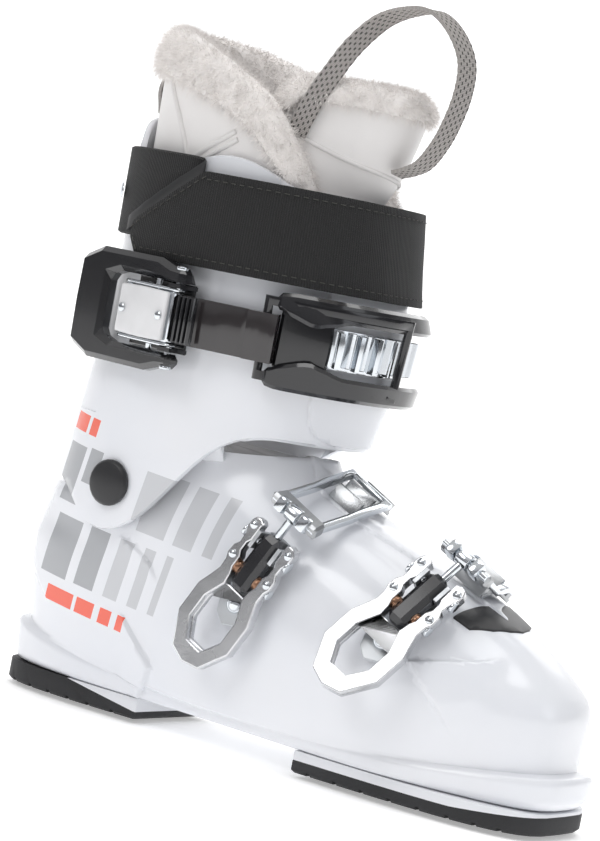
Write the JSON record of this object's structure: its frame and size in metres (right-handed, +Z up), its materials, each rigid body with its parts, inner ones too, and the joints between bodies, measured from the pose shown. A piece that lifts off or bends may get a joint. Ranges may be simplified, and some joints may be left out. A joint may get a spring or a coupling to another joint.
{
  "type": "alpine ski boot",
  "caption": "Right-foot overlap ski boot with a hinged cuff, three lever buckles, power strap, fur-trimmed liner and finger loop.",
  "frame": {"origin": "centre of the bounding box at the height the soles stand on", "axes": "+X towards the toe, +Z up, -Y towards the outer side of the right foot, where the buckles are"},
  "size_m": [0.2976, 0.1321, 0.3375],
  "materials": {
    "white_shell": "smooth injection-moulded polyurethane, glossy with a slight cool tint",
    "silver_cap": "pearl white moulded cap with a satin gloss",
    "black_rubber": "matt moulded rubber with a shallow tread",
    "black_gloss": "polished black glass-filled nylon with crisp facets",
    "grey_board": "plain moulded footboard",
    "liner_foam": "stitched foam liner with a woven cover",
    "white_liner": "smooth white synthetic leather with piping and a pile fur lining",
    "grey_webbing": "perforated grey polyester webbing",
    "black_webbing": "ribbed black polyester webbing with tone on tone stitching",
    "copper_spring": "copper-coloured spring wire",
    "cast_alloy": "tumbled die-cast aluminium with a satin gloss",
    "dark_steel": "black coated hexagon barrel",
    "bright_steel": "polished nickel-plated steel"
  },
  "bodies": {
    "shell": {"lower_shell": "white_shell", "heel_sole": "black_rubber", "heel_screw_1": "bright_steel", "heel_screw_2": "bright_steel", "toe_sole": "black_rubber", "toe_screw_1": "bright_steel", "toe_screw_2": "bright_steel", "toe_insert": "black_gloss", "boot_board": "grey_board", "liner_foot": "liner_foam", "pivot_bush_outer": "bright_steel", "pivot_bush_inner": "bright_steel", "instep_buckle_base": "cast_alloy", "instep_buckle_base_rivet": "bright_steel", "instep_buckle_hinge_pin_rear": "bright_steel", "instep_buckle_hinge_pin_front": "bright_steel", "instep_buckle_tooth_block": "cast_alloy", "toe_buckle_base": "cast_alloy", "toe_buckle_base_rivet": "bright_steel", "toe_buckle_hinge_pin_rear": "bright_steel", "toe_buckle_hinge_pin_front": "bright_steel", "toe_buckle_tooth_block": "cast_alloy"},
    "cuff": {"cuff": "white_shell", "spoiler": "white_shell", "liner_cuff": "white_liner", "tongue": "white_liner", "pull_loop": "grey_webbing", "rear_pull_tab": "grey_webbing", "strap_anchor": "black_webbing", "power_strap": "black_webbing", "strap_rivet_outer": "bright_steel", "strap_rivet_inner": "bright_steel", "pivot_cap_outer": "black_gloss", "pivot_cap_inner": "black_gloss", "cuff_buckle_base": "black_gloss", "cuff_hinge_pin_upper": "bright_steel", "cuff_hinge_pin_lower": "bright_steel", "cuff_ladder": "bright_steel"},
    "instep_lever": {"instep_buckle_lever": "cast_alloy", "instep_buckle_cross_pin": "bright_steel", "instep_buckle_spring_rear": "copper_spring", "instep_buckle_spring_front": "copper_spring"},
    "instep_barrel": {"instep_buckle_barrel": "dark_steel"},
    "instep_rod": {"instep_buckle_rod": "bright_steel"},
    "instep_bail": {"instep_buckle_bail": "bright_steel"},
    "toe_lever": {"toe_buckle_lever": "cast_alloy", "toe_buckle_cross_pin": "bright_steel", "toe_buckle_spring_rear": "copper_spring", "toe_buckle_spring_front": "copper_spring"},
    "toe_barrel": {"toe_buckle_barrel": "dark_steel"},
    "toe_rod": {"toe_buckle_rod": "bright_steel"},
    "toe_bail": {"toe_buckle_bail": "bright_steel"},
    "cuff_lever": {"cuff_lever": "black_gloss", "cuff_cross_pin": "bright_steel"},
    "cuff_adjuster": {"cuff_adjuster_body": "bright_steel", "cuff_adjuster_cap": "silver_cap", "cuff_adjuster_screw_rear": "bright_steel", "cuff_adjuster_screw_front": "bright_steel"},
    "cuff_band": {"cuff_band": "black_gloss"},
    "cuff_bail": {"cuff_bail": "black_gloss"}
  },
  "joints": [
    {"name": "cuff_flex", "type": "hinge", "parent": "shell", "child": "cuff", "pos_m": [-0.08475, 0.0068, 0.104], "axis": [0, 1, 0], "range_deg": [-1.5, 4.5], "stiffness_Nm_per_rad": 80},
    {"name": "instep_lever_open", "type": "hinge", "parent": "shell", "child": "instep_lever", "pos_m": [0.0069, -0.04472, 0.09333], "axis": [-0.8988, 0, 0.4384], "range_deg": [0, 120]},
    {"name": "instep_barrel_turn", "type": "hinge", "parent": "instep_lever", "child": "instep_barrel", "pos_m": [0.00029, -0.04485, 0.07978], "axis": [-0.8988, 0, 0.4384], "range_deg": [-120, 0]},
    {"name": "instep_micro_adjust", "type": "slide", "parent": "instep_barrel", "child": "instep_rod", "axis": [0.4358, 0.1081, 0.8935], "range_m": [0, 0.006]},
    {"name": "instep_bail_swing", "type": "hinge", "parent": "instep_rod", "child": "instep_bail", "pos_m": [0.01511, -0.04117, 0.11016], "axis": [0.8988, 0, -0.4384], "range_deg": [0, 48]},
    {"name": "toe_lever_open", "type": "hinge", "parent": "shell", "child": "toe_lever", "pos_m": [0.0826, -0.0299, 0.09336], "axis": [-0.8988, 0, 0.4384], "range_deg": [0, 120]},
    {"name": "toe_barrel_turn", "type": "hinge", "parent": "toe_lever", "child": "toe_barrel", "pos_m": [0.07675, -0.03694, 0.08138], "axis": [-0.8988, 0, 0.4384], "range_deg": [-120, 0]},
    {"name": "toe_micro_adjust", "type": "slide", "parent": "toe_barrel", "child": "toe_rod", "axis": [0.3653, 0.5527, 0.749], "range_m": [0, 0.006]},
    {"name": "toe_bail_swing", "type": "hinge", "parent": "toe_rod", "child": "toe_bail", "pos_m": [0.08917, -0.01815, 0.10684], "axis": [0.8988, 0, -0.4384], "range_deg": [0, 48]},
    {"name": "cuff_lever_open", "type": "hinge", "parent": "cuff", "child": "cuff_lever", "pos_m": [-0.05543, -0.05785, 0.18289], "axis": [-0.0019, -0.0081, 1], "range_deg": [0, 110]},
    {"name": "cuff_adjuster_turn", "type": "hinge", "parent": "cuff_lever", "child": "cuff_adjuster", "pos_m": [-0.06972, -0.05305, 0.1829], "axis": [-0.0019, -0.0081, 1], "range_deg": [-110, 0]},
    {"name": "cuff_band_slide", "type": "slide", "parent": "cuff_adjuster", "child": "cuff_band", "axis": [0.9749, -0.2227, 0], "range_m": [0, 0.006]},
    {"name": "cuff_bail_swing", "type": "hinge", "parent": "cuff_band", "child": "cuff_bail", "pos_m": [-0.01505, -0.04634, 0.18268], "axis": [-0.016, 0.0486, -0.9987], "range_deg": [0, 38.5]}
  ],
  "couplings": [
    {"joint": "instep_barrel_turn", "follows": "instep_lever_open", "ratio": -1},
    {"joint": "instep_bail_swing", "follows": "instep_lever_open", "ratio": 0.4},
    {"joint": "toe_barrel_turn", "follows": "toe_lever_open", "ratio": -1},
    {"joint": "toe_bail_swing", "follows": "toe_lever_open", "ratio": 0.4},
    {"joint": "cuff_adjuster_turn", "follows": "cuff_lever_open", "ratio": -1},
    {"joint": "cuff_bail_swing", "follows": "cuff_lever_open", "ratio": 0.35}
  ]
}
